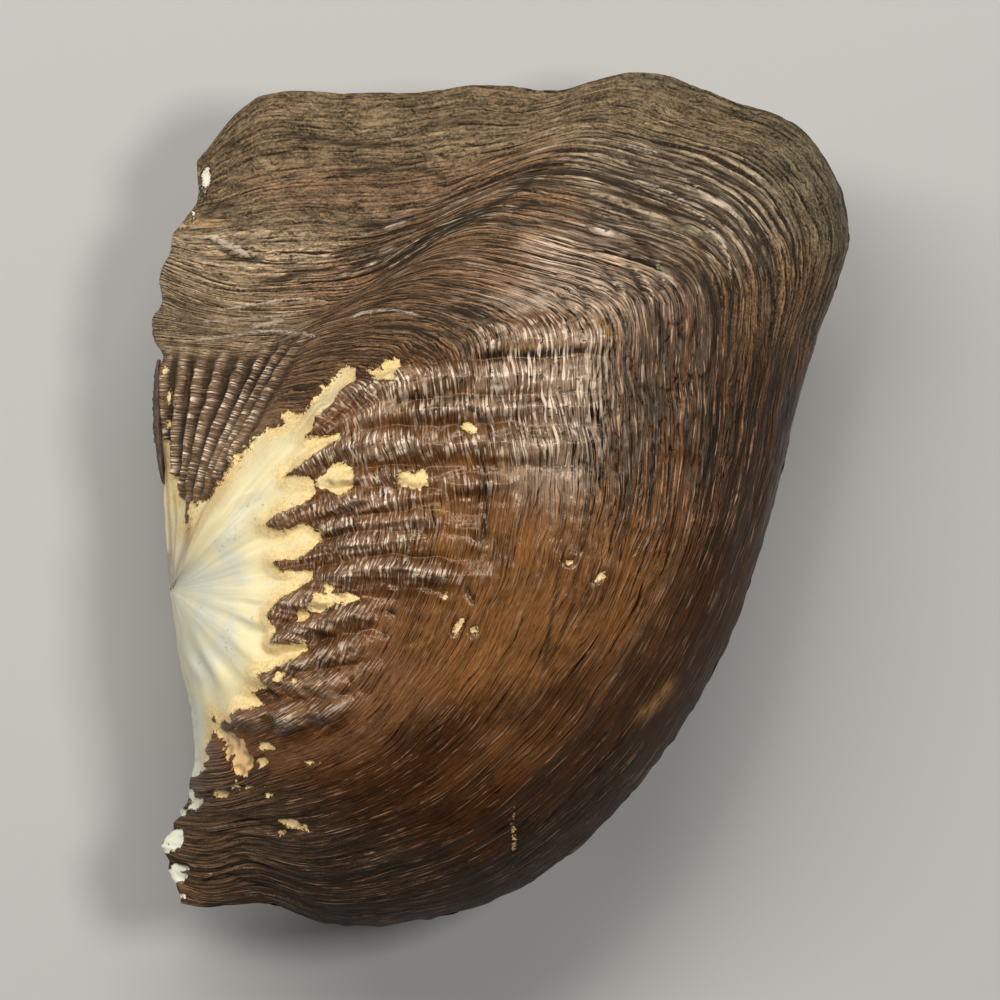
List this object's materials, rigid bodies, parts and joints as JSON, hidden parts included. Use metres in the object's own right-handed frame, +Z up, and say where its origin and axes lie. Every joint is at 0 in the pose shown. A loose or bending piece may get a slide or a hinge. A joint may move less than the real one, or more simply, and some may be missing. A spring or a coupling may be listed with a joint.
{
  "type": "triplodon corrugatus shell",
  "caption": "Closed winged river mussel shell: two brown ridged valves, worn to pearl at the beak, held by a dark hinge band and lying flat on the lower valve.",
  "frame": {"origin": "under the middle of the shell's box, on the surface that it lies on", "axes": "+Z up out of the upper valve, square to the plane between the valves; +Y along the hinge from the beak towards the wing; +X from the hinge to the free edge"},
  "size_m": [0.0656, 0.0802, 0.0399],
  "materials": {
    "upper_valve": "chestnut to grey brown horny skin, glossy on the disc and dry on the wing, worn to silvery pearl at the beak",
    "lower_valve": "as the upper valve, duller",
    "hinge_band": "dark fibrous horny band"
  },
  "bodies": {
    "root": {"left_valve": "upper_valve", "right_valve": "lower_valve", "ligament": "hinge_band"}
  },
  "joints": []
}
